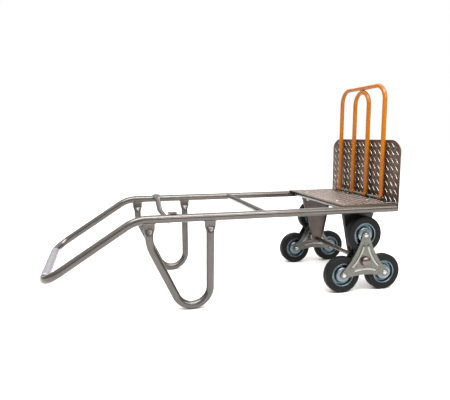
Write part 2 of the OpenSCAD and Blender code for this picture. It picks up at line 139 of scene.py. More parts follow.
def with_rows_at(path, extra):
    """The same path with points added at the given distances along it."""
    gone = distances(path)
    at = np.unique(np.round(np.concatenate([gone, extra]), 4))
    return np.stack([np.interp(at, gone, path[:, k]) for k in range(3)], axis=-1)


def carried(path, section, normal):
    """Profile carried along a path: a section's first coordinate is laid off along the cross
    product of normal and path, and its second along the normal that completes the frame."""
    ahead = unit(np.gradient(path, axis=0))
    across = unit(np.cross(normal, ahead))
    over = np.cross(ahead, across)
    section = np.broadcast_to(section, (len(path),) + section.shape[-2:])
    return (path[:, None] + section[..., :1] * across[:, None]
            + section[..., 1:] * over[:, None])


def hollow(path, outer, inner, normal):
    """Tube wall: the outer surface out along the path and the inner one back again."""
    return np.concatenate([carried(path, outer, normal), carried(path, inner, normal)[::-1]])


def turned(profile, centre, sides=72):
    """Profile of radius and Y turned about the Y axis through centre."""
    profile = np.array(profile, float)
    turn = np.linspace(0, 2 * np.pi, sides, endpoint=False)
    ring = np.stack([np.cos(turn), np.zeros(sides), np.sin(turn)], axis=-1)
    return (profile[:, :1, None] * ring + profile[:, 1][:, None, None] * np.array([0, 1, 0])
            + np.array(centre))


def rounded(points, radius, steps=4):
    """Closed profile with each corner cut by a curve: points lie on the curve drawn by the
    corner and two points up to radius away along its edges (a parabola)."""
    points = np.array(points, float)
    before, after = np.roll(points, 1, axis=0), np.roll(points, -1, axis=0)
    gap_in = np.linalg.norm(before - points, axis=1, keepdims=True)
    gap_out = np.linalg.norm(after - points, axis=1, keepdims=True)
    a = points + (before - points) * np.minimum(radius / gap_in, 0.45)
    b = points + (after - points) * np.minimum(radius / gap_out, 0.45)
    t = np.linspace(0, 1, steps)[None, :, None]
    curve = (1 - t) ** 2 * a[:, None] + 2 * t * (1 - t) * points[:, None] + t ** 2 * b[:, None]
    return curve.reshape(-1, points.shape[1])


def rise_of(radius, offset, reach):
    """Height of a circle over its middle at an offset, which counts only up to reach."""
    return np.sqrt(radius ** 2 - np.clip(offset, -reach, reach) ** 2)


# ---- Meshes -------------------------------------------------------------------------


def make_piece(name, grids, material, body, stands_for=(), sharp=32.0):
    """Joins grids of points (rows, columns, 3) into one mesh of quads. Every grid closes
    round its columns. It closes round its rows too if its flag says so; otherwise its first
    and last rows have shrunk to points."""
    vertices, faces, offset = [], [], 0
    for points, ring in grids:
        rows, columns = points.shape[:2]
        i = np.arange(rows if ring else rows - 1)[:, None]
        j = np.arange(columns)[None, :]
        i_next, j_next = (i + 1) % rows, (j + 1) % columns
        quad = np.stack([i * columns + j, i * columns + j_next,
                         i_next * columns + j_next, i_next * columns + j], axis=-1)
        faces.append(quad.reshape(-1, 4) + offset)
        vertices.append(points.reshape(-1, 3) * MM)
        offset += rows * columns
    mesh = bpy.data.meshes.new(name)
    mesh.from_pydata(np.concatenate(vertices).tolist(), [], np.concatenate(faces).tolist())
    tidy = bmesh.new()
    tidy.from_mesh(mesh)
    bmesh.ops.remove_doubles(tidy, verts=tidy.verts, dist=2e-6)
    bmesh.ops.dissolve_degenerate(tidy, edges=tidy.edges, dist=1e-6)
    bmesh.ops.recalc_face_normals(tidy, faces=tidy.faces)
    tidy.to_mesh(mesh)
    tidy.free()
    mesh.polygons.foreach_set("use_smooth", np.ones(len(mesh.polygons), bool))
    mesh.set_sharp_from_angle(angle=math.radians(sharp))
    mesh.materials.append(material)
    piece = bpy.data.objects.new(name, mesh)
    bpy.context.scene.collection.objects.link(piece)
    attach(piece, body)
    if stands_for:
        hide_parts(*stands_for)
    return piece


def slab(outline, low, high, edge, axes=(0, 1, 2)):
    """Flat plate with eased edges: the outline's loop is stepped in by edge at both faces,
    and each face closes on the outline's middle. axes says which of X, Y and Z the
    outline's two coordinates and the thickness lie along."""
    outline = np.array(outline, float)
    middle = (outline.min(axis=0) + outline.max(axis=0)) / 2
    reach = np.abs(outline - middle).max(axis=0)
    inset, eased = 1 - edge / reach, 1 - 0.3 * edge / reach
    steps = [(0, low), (inset, low), (eased, low + 0.3 * edge), (1, low + edge),
             (1, high - edge), (eased, high - 0.3 * edge), (inset, high), (0, high)]
    rows = []
    for size, level in steps:
        row = np.zeros((len(outline), 3))
        row[:, axes[0]], row[:, axes[1]] = (middle + (outline - middle) * size).T
        row[:, axes[2]] = level
        rows.append(row)
    return np.stack(rows)


def weld(path, radius, normal, closed=True):
    """Weld bead: a small circle carried along the seam, whose radius ripples with each
    3.2 mm drop of metal, and falls to nothing at the ends of an open seam."""
    path = np.array(path, float)
    if closed:
        path = np.vstack([path, path[:1]])
    length = distances(path)[-1]
    count = max(12, int(length / 1.1))
    path = with_rows_at(path, np.linspace(0, length, count))
    gone = distances(path)
    ripple = 1 + 0.16 * np.cos(2 * np.pi * gone / (length / max(2, round(length / 3.2))))
    if not closed:
        ripple *= np.sqrt(np.clip(np.minimum(gone, gone[-1] - gone) / radius, 0.0, 1))
    bead = carried(path, round_section(radius, 8) * ripple[:, None, None], np.array(normal, float))
    if closed:
        bead[0] = bead[-1] = (bead[0] + bead[-1]) / 2
        return bead[:-1], True
    return bead, False


def hex_nut(centre, across, low, high, bore):
    """Six-sided nut turned about Y: its radius is that of a hexagon, cut back near both
    faces by a cone."""
    turn = np.linspace(0, 2 * np.pi, 48, endpoint=False)
    flat = across / 2 / np.cos((turn + np.pi / 6) % (np.pi / 3) - np.pi / 6)
    levels = np.array([low, low, low + 1.2, high - 1.2, high, high])
    cut, uncut = across / 2 - 0.4, across
    cone = np.array([cut, cut, uncut, uncut, cut, cut])
    radius = np.minimum(flat[None], cone[:, None])
    radius[0] = radius[-1] = bore
    points = np.stack([radius * np.cos(turn), np.broadcast_to(levels[:, None], radius.shape),
                       radius * np.sin(turn)], axis=-1) + np.array(centre)
    return points, True


# ---- Materials ----------------------------------------------------------------------


def linear(code):
    """Turns an sRGB hex colour into linear red, green, blue and alpha."""
    c = np.array([int(code[k:k + 2], 16) for k in (1, 3, 5)]) / 255
    c = np.where(c <= 0.04045, c / 12.92, ((c + 0.055) / 1.055) ** 2.4)
    return (*c.tolist(), 1.0)


def add_node(tree, kind, links=None, **settings):
    """Adds a node. links gives its inputs a value or another node's output."""
    node = tree.nodes.new(kind)
    for key, value in settings.items():
        setattr(node, key, value)
    for key, value in (links or {}).items():
        if isinstance(value, bpy.types.NodeSocket):
            tree.links.new(value, node.inputs[key])
        else:
            node.inputs[key].default_value = value
    return node


def finish(name, base, second, patch, gloss, metal=0.0, grain=None, coat=0.0, mark=None,
           specular=0.5, colour_from=None, height_from=None):
    """Surface with two noises: patches of so many mm shift the colour from base to second
    and the roughness between the two gloss values, and grain, as (mm, depth in mm), is its
    relief. mark, as (colour, mm, share), adds sparse rubs and specks. colour_from adds painted
    shade or painted highlight to the colour, and height_from a relief of the surface's own."""
    material = bpy.data.materials.new(name)
    material.use_nodes = True
    tree = material.node_tree
    tree.nodes.clear()
    place = add_node(tree, "ShaderNodeTexCoord").outputs["Object"]
    cloud = add_node(tree, "ShaderNodeTexNoise", {"Vector": place, "Scale": 1 / (patch * MM),
                                                  "Detail": 5.0, "Roughness": 0.6})
    spread = add_node(tree, "ShaderNodeMapRange", {"Value": cloud.outputs["Fac"], "From Min": 0.33,
                                                   "From Max": 0.67})
    shade = add_node(tree, "ShaderNodeMixRGB", {"Fac": spread.outputs[0], "Color1": linear(base),
                                                "Color2": linear(second)}).outputs[0]
    if colour_from:
        shade = colour_from(tree, place, shade)
    if mark:
        mark_colour, size, share = mark
        specks = add_node(tree, "ShaderNodeTexNoise", {"Vector": place, "Scale": 1 / (size * MM),
                                                       "Detail": 8.0, "Roughness": 0.7})
        seen = add_node(tree, "ShaderNodeMapRange", {"Value": specks.outputs["Fac"],
                                                     "From Min": 1 - share - 0.04,
                                                     "From Max": 1 - share + 0.04})
        rubbed = add_node(tree, "ShaderNodeMixRGB", {"Fac": seen.outputs[0], "Color1": shade,
                                                     "Color2": linear(mark_colour)})
        shade = rubbed.outputs[0]
    rough = add_node(tree, "ShaderNodeMapRange", {"Value": spread.outputs[0], "To Min": gloss[0],
                                                  "To Max": gloss[1]})
    shader = add_node(tree, "ShaderNodeBsdfPrincipled", {
        "Base Color": shade, "Roughness": rough.outputs[0], "Metallic": metal,
        "Coat Weight": coat, "Coat Roughness": 0.12, "Specular IOR Level": specular})
    relief = None
    if grain:
        fine = add_node(tree, "ShaderNodeTexNoise", {"Vector": place, "Scale": 1 / (grain[0] * MM),
                                                     "Detail": 3.0})
        relief = add_node(tree, "ShaderNodeBump", {"Height": fine.outputs["Fac"], "Strength": 1.0,
                                                   "Distance": grain[1] * MM}).outputs[0]
    if height_from:
        relief = height_from(tree, place, relief)
    if relief:
        tree.links.new(relief, shader.inputs["Normal"])
    out = add_node(tree, "ShaderNodeOutputMaterial")
    tree.links.new(shader.outputs[0], out.inputs["Surface"])
    return material


def painted_highlight_ribs(tree, place, shade):
    """Painted highlight: the further a spot stands out of the pressed plate, the lighter its zinc,
    a bright line along each rib crest.
    """
    rise = add_node(tree, "ShaderNodeAttribute", attribute_name="rise").outputs["Fac"]
    highlight_share = add_node(tree, "ShaderNodeMapRange", {"Value": rise, "From Min": 2.1, "From Max": 3.2,
                                                 "To Max": 0.75})
    return add_node(tree, "ShaderNodeMixRGB", {"Fac": highlight_share.outputs[0], "Color1": shade,
                                               "Color2": linear("#9f9e9a")}).outputs[0]


def painted_shade_outboard(tree, place, shade):
    """Painted shade: darkens to near black the faces that look outboard, where shade falls behind
    the wheels. The normal's Y times the side's sign says how far a face looks outward."""
    where = add_node(tree, "ShaderNodeSeparateXYZ", {"Vector": place})
    facing = add_node(tree, "ShaderNodeSeparateXYZ", {
        "Vector": add_node(tree, "ShaderNodeTexCoord").outputs["Normal"]})
    side = add_node(tree, "ShaderNodeMath", {0: where.outputs["Y"]}, operation="SIGN")
    outward = add_node(tree, "ShaderNodeMath", {0: facing.outputs["Y"], 1: side.outputs[0]},
                       operation="MULTIPLY")
    amount = add_node(tree, "ShaderNodeMapRange", {"Value": outward.outputs[0], "From Min": -0.75,
                                                   "From Max": -0.3, "To Max": 0.95})
    mixed = add_node(tree, "ShaderNodeMixRGB", {"Fac": amount.outputs[0], "Color1": shade,
                                                "Color2": linear("#161515")})
    return mixed.outputs[0]


def brushed_along(direction, pitch, depth):
    """Fine lines left by rolling or brushing: noise squeezed to the pitch across the lines
    and stretched forty times along them."""
    def height(tree, place, relief):
        """Lays the lines over the surface's own relief, if it has one."""
        scale = [1 / (pitch * MM)] * 3
        scale[direction] /= 40
        squeezed = add_node(tree, "ShaderNodeMapping", {"Vector": place, "Scale": scale})
        lines = add_node(tree, "ShaderNodeTexNoise", {"Vector": squeezed.outputs[0], "Scale": 1.0,
                                                      "Detail": 2.0})
        links = {"Height": lines.outputs["Fac"], "Strength": 1.0, "Distance": depth * MM}
        if relief:
            links["Normal"] = relief
        return add_node(tree, "ShaderNodeBump", links).outputs[0]
    return height


# Powder coat with aluminium flake over steel: a soft even sheen, faint orange peel
frame_paint = finish("powder_coated_steel_silver", "#54504d", "#4c4845", 60, (0.2, 0.28),
                     metal=0.8, grain=(5, 0.008), coat=0.35, mark=("#4a4643", 20, 0.15))
# The same coat where it bridges the lumps of a weld: thicker and duller
weld_paint = finish("powder_coated_weld", "#7a7572", "#625d5a", 5, (0.34, 0.5), metal=0.7,
                    grain=(0.8, 0.05))
# Orange enamel, sprayed and stoved: deep colour under a glossy skin
loop_paint = finish("stoved_enamel_orange", "#995800", "#914f00", 45, (0.24, 0.3), coat=0.15,
                    grain=(9, 0.006), mark=("#985202", 40, 0.12), specular=0.3)
# Aluminium rolled into tread plate: dull brownish hollows, rolling lines
plate_metal = finish("rolled_aluminium_tread_plate", "#6c5b50", "#58493f", 35, (0.34, 0.48),
                     metal=0.9, grain=(0.9, 0.02), height_from=brushed_along(1, 1.2, 0.01))
# The bars' tops, rubbed bright by loads: the lit one of two copies, on the bars that lean one way
bar_metal = finish("worn_aluminium_tread_bars", "#a5a29e", "#8b8782", 9, (0.26, 0.4), metal=0.95,
                   grain=(0.7, 0.02))
# The bars that lean the other way: the same aluminium painted darker and browner, as painted shade
painted_shade_bars = finish("aluminium_tread_bars_painted_shade", "#8d837c", "#746a63", 9, (0.34, 0.48),
                   metal=0.95, grain=(0.7, 0.02))
# Zinc-plated pressed steel with a clear blue passivate: bluish and bright
rim_zinc = finish("blue_zinc_plated_rim", "#727c80", "#5d707b", 14, (0.26, 0.38), metal=1.0,
                  grain=(1.6, 0.02))
# Zinc-plated pressed steel left dull: warm grey satin, with a painted highlight along the rib
# crests
star_zinc = finish("dull_zinc_plated_star", "#62625d", "#5a5a55", 22, (0.24, 0.34), metal=0.85,
                   grain=(1.4, 0.02), mark=("#565550", 5, 0.22), colour_from=painted_highlight_ribs)
# Zinc-plated turned fasteners
bolt_zinc = finish("zinc_plated_fastener", "#b2b5b3", "#989b97", 6, (0.18, 0.3), metal=1.0,
                   grain=(0.8, 0.01))
# Bright-drawn bar, oiled and brown with handling
axle_steel = finish("oiled_drawn_steel_axle", "#7b736e", "#544d49", 30, (0.18, 0.3), metal=1.0,
                    grain=(0.9, 0.01), height_from=brushed_along(1, 0.8, 0.006))
# Deep-drawn caps, polished, with a faint pink-brown cast
cap_steel = finish("polished_drawn_cap", "#746a65", "#635852", 18, (0.24, 0.32), metal=1.0,
                   grain=(1.5, 0.01))
# Folded sheet steel in brown-grey paint, its outboard faces darkened near black as painted shade
bracket_paint = finish("painted_folded_steel", "#6c625e", "#605753", 40, (0.34, 0.46), metal=0.4,
                       grain=(1.8, 0.015), colour_from=painted_shade_outboard)
# Solid tyre, compression moulded: near black, matt, greyed by dust on the sides
tyre_rubber = finish("moulded_black_rubber", "#0a0a0b", "#111112", 16, (0.5, 0.66),
                     grain=(0.7, 0.05), mark=("#232223", 4, 0.3), specular=0.16)
# Rolled and knurled sleeve, pale with a lilac cast
grip_sleeve = finish("knurled_anodised_sleeve", "#aaa7af", "#98949e", 25, (0.28, 0.4), metal=0.6,
                     grain=(0.9, 0.02))
# Cast nylon bushes, off-white
bush_nylon = finish("cast_nylon", "#d2ccba", "#c2bba6", 12, (0.4, 0.5), grain=(1.0, 0.02))


# ---- Frame tube, grip and cross tubes -----------------------------------------------

TUBE_OUT, TUBE_IN = round_section(TUBE_R), round_section(TUBE_R - TUBE_WALL)
HAND_X, HAND_Z = NOSE - 1455, 149.0
BEND_X = NOSE - 1116
RAIL_BEND_R, HAND_BEND_R = 150, 75
RAIL_CUT = math.tan(math.radians(22))


def frame_tube():
    """The bent frame tube: a circle carried along rails, handle runs and hand bar, cut at
    both rail ends along a plane that leans back 22 degrees."""
    end_x = NOSE - 1
    path = bent([[end_x, -RAIL_Y, RAIL_Z], [BEND_X, -RAIL_Y, RAIL_Z], [HAND_X, -RAIL_Y, HAND_Z],
                 [HAND_X, RAIL_Y, HAND_Z], [BEND_X, RAIL_Y, RAIL_Z], [end_x, RAIL_Y, RAIL_Z]],
                [RAIL_BEND_R, HAND_BEND_R, HAND_BEND_R, RAIL_BEND_R])
    path = with_rows_at(path, [40, distances(path)[-1] - 40])
    wall = hollow(path, TUBE_OUT, TUBE_IN, np.array([0, 0, 1.0]))
    cut = end_x - (wall[..., 2] - RAIL_Z + TUBE_R) * RAIL_CUT
    wall[..., 0] = np.minimum(wall[..., 0], cut)
    return wall


make_piece("frame_tube", [(frame_tube(), True)], frame_paint, "frame",
           ["main_frame_tube"])


def knurled_sleeve(half=212.0, outer=17.5, inner=16.05, grooves=24, sides=96, step=1.2):
    """Sleeve whose outside is cut by two crossing sets of spiral grooves: the radius dips
    0.3 mm where either set's wave, of turn plus or minus distance, is lowest. The last
    8 mm are plain, and each end is a quarter of an ellipse."""
    y = np.arange(-half, half + step / 2, step)
    turn = np.linspace(0, 2 * np.pi, sides, endpoint=False)
    pitch = 2 * np.pi * outer / grooves
    wave = [np.cos(grooves * turn[None] + s * 2 * np.pi * y[:, None] / pitch) for s in (1, -1)]
    groove = 0.3 * np.maximum(ease(-wave[0] - 0.1), ease(-wave[1] - 0.1))
    plain = ease((half - 8 - np.abs(y)) / 3)[:, None]
    into = np.clip((half - np.abs(y)) / 2.4, 0, 1)
    end = 1.2 * (1 - np.sqrt(np.clip(1 - (1 - into) ** 2, 0, 1)))
    radius = outer - groove * plain - end[:, None]
    outside = np.stack([radius * np.cos(turn), np.broadcast_to(y[:, None], radius.shape),
                        radius * np.sin(turn)], axis=-1)
    ends = np.array([half, -half])
    inside = np.stack([np.broadcast_to(inner * np.cos(turn), (2, sides)),
                       np.broadcast_to(ends[:, None], (2, sides)),
                       np.broadcast_to(inner * np.sin(turn), (2, sides))], axis=-1)
    return np.concatenate([outside, inside]) + np.array([HAND_X, 0, HAND_Z])


make_piece("knurled_grip", [(knurled_sleeve(), True)], grip_sleeve, "frame",
           ["handle_grip"])

# Loop legs: both branches' distances behind the nose, the sloping one's angle, the lean
LEG_BACK, LEG_FRONT, LEG_SLOPE, LEG_LEAN = 1068.0, 832.0, math.radians(25.5), math.radians(1.8)
FOOT_R, KNEE_R = 71.0, 140.0
# Their flattened ends, and the depths under the rail where flat gives way to round
FLAT = (44.0, 11.0)
FLAT_FROM, ROUND_FROM, LEG_TOP = 37.0, 62.0, 14.5


def leaned(points, side):
    """Leg points, given as distance from the nose, distance out of the leg's plane and depth
    under the rail's centre line, in the truck: the plane leans inward by 1.8 degrees."""
    x, out, depth = np.moveaxis(np.array(points, float), -1, 0)
    y = RAIL_Y + out * math.cos(LEG_LEAN) - depth * math.sin(LEG_LEAN)
    z = RAIL_Z - depth * math.cos(LEG_LEAN) - out * math.sin(LEG_LEAN)
    return np.stack([NOSE + x, SIDES[side] * y, z], axis=-1)


def leg_wall(side):
    """Loop leg: a tube that goes from a flattened end down the sloping branch, round the foot
    and up the upright branch, its section passing from flat to round over 25 mm."""
    foot_depth = (RAIL_Z - TUBE_R) / math.cos(LEG_LEAN) - FOOT_R
    span = LEG_BACK - LEG_FRONT
    knee = foot_depth - ((span - FOOT_R) * math.cos(LEG_SLOPE) - FOOT_R) / math.sin(LEG_SLOPE)
    low = knee + span / math.tan(LEG_SLOPE)
    flat_path = bent([[-LEG_BACK, 0, LEG_TOP], [-LEG_BACK, 0, knee], [-LEG_FRONT, 0, low],
                      [-LEG_FRONT, 0, LEG_TOP]], [KNEE_R, FOOT_R], 4)
    length = distances(flat_path)[-1]
    ends = np.concatenate([[1, 3, 6], np.linspace(FLAT_FROM - LEG_TOP, ROUND_FROM - LEG_TOP, 15)])
    path = with_rows_at(flat_path, np.concatenate([ends, length - ends]))
    gone = distances(path)
    from_end = np.minimum(gone, length - gone) + LEG_TOP
    roundness = ease((from_end - FLAT_FROM) / (ROUND_FROM - FLAT_FROM))[:, None, None] ** 0.75
    flare = (1 + 0.06 * np.exp(-(from_end - LEG_TOP) / 6))[:, None, None]
    outer = (1 - roundness) * flat_section(*FLAT) * flare + roundness * TUBE_OUT
    inner = ((1 - roundness) * flat_section(FLAT[0] - 4, FLAT[1] - 6) * flare
             + roundness * TUBE_IN)
    return leaned(hollow(path, outer, inner, np.array([0, 1.0, 0])), side)


def leg_welds(side):
    """Beads where the flattened ends meet the rail's underside: the flat section's edge,
    lifted onto the rail's round."""
    edge = flat_section(FLAT[0] + 4, FLAT[1] + 3, 40)
    beads = []
    for back in (LEG_BACK, LEG_FRONT):
        depth = rise_of(TUBE_R, edge[:, 1], 15) + 0.4
        path = leaned(np.stack([edge[:, 0] - back, edge[:, 1], depth], axis=-1), side)
        beads.append(weld(path, 1.9, (0, 0, 1)))
    return beads


CROSS_R, CROSS_IN = 12.5, 11.0
# Dished tube: distance behind the nose, middle's height, and where its slopes begin and end
DISH_BACK, DISH_Z, SLOPE_TOP_Y, SLOPE_FOOT_Y = 975, 329, 259.0, 138.3
# Its pressed ends: thickness, gap inside, tip's width, and how much wider they get how far in
DISH_FLAT_T, DISH_GAP_T, TIP_W, WIDER_BY, WIDER_IN = 8.2, 3.2, 25, 13.5, 62


def dished_wall():
    """Dished cross tube: low in the middle and sloped up to both rails, where it is pressed
    flat, wide in the middle of the flat and narrower at its tip as a quarter of a sine."""
    x = NOSE - DISH_BACK
    tip, top = RAIL_Y + 6, RAIL_TOP + 1.8
    path = bent([[x, tip, top], [x, SLOPE_TOP_Y, top - 0.4], [x, SLOPE_FOOT_Y, DISH_Z],
                 [x, -SLOPE_FOOT_Y, DISH_Z], [x, -SLOPE_TOP_Y, top - 0.4], [x, -tip, top]],
                [34, 90, 90, 34], 3)
    length = distances(path)[-1]
    ends = np.linspace(0.5, 96, 40)
    path = with_rows_at(path, np.concatenate([ends, length - ends]))
    gone = distances(path)
    from_end = np.minimum(gone, length - gone)
    roundness = ease((from_end - 40) / 46)[:, None, None]
    width = TIP_W + WIDER_BY * np.sin(np.clip(from_end / WIDER_IN, 0, 1) * np.pi / 2)
    flat = np.array([flat_section(w, DISH_FLAT_T)[:, ::-1] for w in width])
    outer = (1 - roundness) * flat + roundness * round_section(CROSS_R)[:, ::-1]
    core = np.array([flat_section(w - 4, DISH_GAP_T)[:, ::-1] for w in width])
    inner = (1 - roundness) * core + roundness * round_section(CROSS_IN)[:, ::-1]
    return hollow(path, outer, inner, np.array([1.0, 0, 0]))


def straight_wall(back):
    """Straight cross tube between the rails, its ends coped to their round: each end's Y is
    the rail's less the height of the rail's circle at that point's Z."""
    x = NOSE - back
    y = np.array([-RAIL_Y, -RAIL_Y + 60, RAIL_Y - 60, RAIL_Y])
    path = np.stack([np.full(4, x), y, np.full(4, RAIL_Z)], axis=-1)
    wall = hollow(path, round_section(CROSS_R), round_section(CROSS_IN), np.array([0, 0, 1.0]))
    room = RAIL_Y - rise_of(TUBE_R, wall[..., 2] - RAIL_Z, 15)
    wall[..., 1] = np.clip(wall[..., 1], -room, room)
    return wall


def cross_welds(back):
    """Beads round a straight cross tube's ends, on the rails' rounds."""
    edge = round_section(CROSS_R + 0.6, 40)
    room = RAIL_Y - rise_of(TUBE_R, edge[:, 1], 15)
    return [weld(np.stack([NOSE - back + edge[:, 0], side * (room - 0.4), RAIL_Z + edge[:, 1]],
                          axis=-1), 1.8, (0, 1, 0)) for side in (1, -1)]


def dish_welds():
    """Short beads along both edges of each flattened tip, on the rail's top."""
    beads = []
    for side in (1, -1):
        for s in (1, -1):
            y = np.linspace(RAIL_Y - 9, RAIL_Y + 6, 12)
            z = RAIL_Z + rise_of(TUBE_R, y - RAIL_Y, TUBE_R)
            x = NOSE - DISH_BACK + s * (16 - 0.25 * (y - RAIL_Y))
            beads.append(weld(np.stack([x, side * y, z], axis=-1), 2.4, (0, 0, 1), False))
    return beads


# How far each straight cross tube lies behind the nose
STRAIGHT_BACKS = {"middle_cross_tube": 600, "rear_axle_cross_tube": 215,
                  "front_axle_cross_tube": 62}
for side in SIDES:
    make_piece(f"{side}_loop_leg", [(leg_wall(side), True)], frame_paint, "frame",
               [f"{side}_leg"])
make_piece("dished_tube", [(dished_wall(), True)], frame_paint, "frame",
           ["dished_cross_tube"])
for node, back in STRAIGHT_BACKS.items():
    make_piece(f"{node}_coped", [(straight_wall(back), True)], frame_paint, "frame",
               [node])
frame_beads = leg_welds("left") + leg_welds("right") + dish_welds()
for back in STRAIGHT_BACKS.values():
    frame_beads += cross_welds(back)
make_piece("frame_weld_beads", frame_beads, weld_paint, "frame")


# ---- Tread plates -------------------------------------------------------------------

PLATE_HALF_W, PLATE_T, BASE_LEN = 296.0, 3.0, 258.0
# Tread bars, and how far their undersides lie in the plate
BAR_PITCH, BAR_HALF_L, BAR_HALF_W, BAR_H, BAR_SINK = 17.0, 17.0, 2.3, 1.2, -0.25


def tread_bars(u_low, u_high, v_half, inside):
    """Raised almond bars in a chequer of columns: every other place of a square lattice, at
    45 degrees one way in even columns and the other way in odd ones. Each bar's half width
    is the 0.6 power of one less the square of the way along it, and its height a half
    ellipse across. Gives two sets, one for each way, as (bars, rows, columns, 3) of
    along, across and height."""
    i, j = np.meshgrid(np.arange(0, 60), np.arange(-30, 31), indexing="ij")
    keep = (i + j) % 2 == 0
    u, v = u_low + BAR_PITCH * (i[keep] + 0.75), BAR_PITCH * j[keep].astype(float)
    lean = np.where(i[keep] % 2 == 0, 1.0, -1.0)
    ok = (u + 10 < u_high) & (np.abs(v) + 10 < v_half) & inside(u, v)
    u, v, lean = u[ok], v[ok], lean[ok]
    along = np.sin(np.linspace(-np.pi / 2, np.pi / 2, 8))
    half = BAR_HALF_W * np.clip(1 - along ** 2, 0, 1) ** 0.6
    height = BAR_H * np.clip(1 - along ** 4, 0, 1) ** 0.5
    ring = np.linspace(0, 2 * np.pi, 8, endpoint=False)
    across = half[:, None] * np.cos(ring)
    over = np.where(np.sin(ring) > 0, height[:, None] * np.sin(ring), BAR_SINK)
    over[0] = over[-1] = BAR_SINK
    length = np.broadcast_to(BAR_HALF_L * along[:, None], across.shape)
    c = math.sqrt(0.5)
    a = u[:, None, None] + c * (length - lean[:, None, None] * across)
    b = v[:, None, None] + c * (lean[:, None, None] * length + across)
    bars = np.stack([a, b, np.broadcast_to(over, a.shape)], axis=-1)
    return bars[lean > 0], bars[lean < 0]


def base_plate():
    """Plate on the rails' tops, with its corners eased."""
    outline = rounded([[NOSE - BASE_LEN, -PLATE_HALF_W], [NOSE, -PLATE_HALF_W],
                       [NOSE, PLATE_HALF_W], [NOSE - BASE_LEN, PLATE_HALF_W]], 6, 6)
    return slab(outline, RAIL_TOP, RAIL_TOP + PLATE_T, 0.5)


NOSE_LOW, NOSE_HIGH, CUT_W, CUT_H, CUT_EASE = 350.0, 660.0, 47.0, 31.0, 22


def nose_plate():
    """Upright plate with two cut corners, eased where the cuts begin and end."""
    w = PLATE_HALF_W
    outline = rounded([[-w, NOSE_LOW], [w, NOSE_LOW], [w, NOSE_HIGH - CUT_H],
                       [w - CUT_W, NOSE_HIGH], [CUT_W - w, NOSE_HIGH], [-w, NOSE_HIGH - CUT_H]],
                      CUT_EASE, 8)
    return slab(outline, NOSE, NOSE + PLATE_T, 0.5, (1, 2, 0))


# Bars leaning one way take the bright metal, those leaning the other way its painted-shade copy
BAR_SETS = (("left", bar_metal), ("right", painted_shade_bars))
sets = tread_bars(NOSE - BASE_LEN, NOSE - 3, PLATE_HALF_W, lambda u, v: u > 0)
for (way, metal), bars in zip(BAR_SETS, sets):
    bars[..., 2] += RAIL_TOP + PLATE_T
    make_piece(f"base_tread_bars_{way}", [(bar, False) for bar in bars], metal, "frame")
make_piece("base_tread_plate", [(base_plate(), False)], plate_metal, "frame",
           ["base_plate"])


def clear_of_cuts(u, v):
    """Whether a place on the nose plate is well inside its cut corners: the way up the cut
    and the way along it, as shares, add to less than 0.55."""
    up, along = u - NOSE_HIGH + CUT_H, np.abs(v) - PLATE_HALF_W + CUT_W
    return up / CUT_H + along / CUT_W < 0.55


sets = tread_bars(RAIL_TOP + PLATE_T, NOSE_HIGH, PLATE_HALF_W, clear_of_cuts)
for (way, metal), bars in zip(BAR_SETS, sets):
    bars = np.stack([NOSE - bars[..., 2], bars[..., 1], bars[..., 0]], axis=-1)
    make_piece(f"nose_tread_bars_{way}", [(bar, False) for bar in bars], metal, "frame")
make_piece("nose_tread_plate", [(nose_plate(), False)], plate_metal, "frame",
           ["nose_plate"])
seam_y = np.linspace(-PLATE_HALF_W + 4, PLATE_HALF_W - 4, 120)
seam = np.stack([np.full(120, NOSE - 0.8), seam_y,
                 np.full(120, RAIL_TOP + PLATE_T + 0.6)], axis=-1)
make_piece("tread_plate_seam", [weld(seam, 2.0, (0, 0, 1), False)], bar_metal, "frame")


# ---- Axle brackets ------------------------------------------------------------------

BRACKET_TOP_Z, BRACKET_TOP_Y, BRACKET_LEAN = RAIL_Z - CROSS_R, 216.0, math.radians(6.1)
BRACKET_HALF_W, BRACKET_T, BRACKET_FLANGE, BRACKET_FOOT_R = 83.0, 4.0, 15.0, 26.0


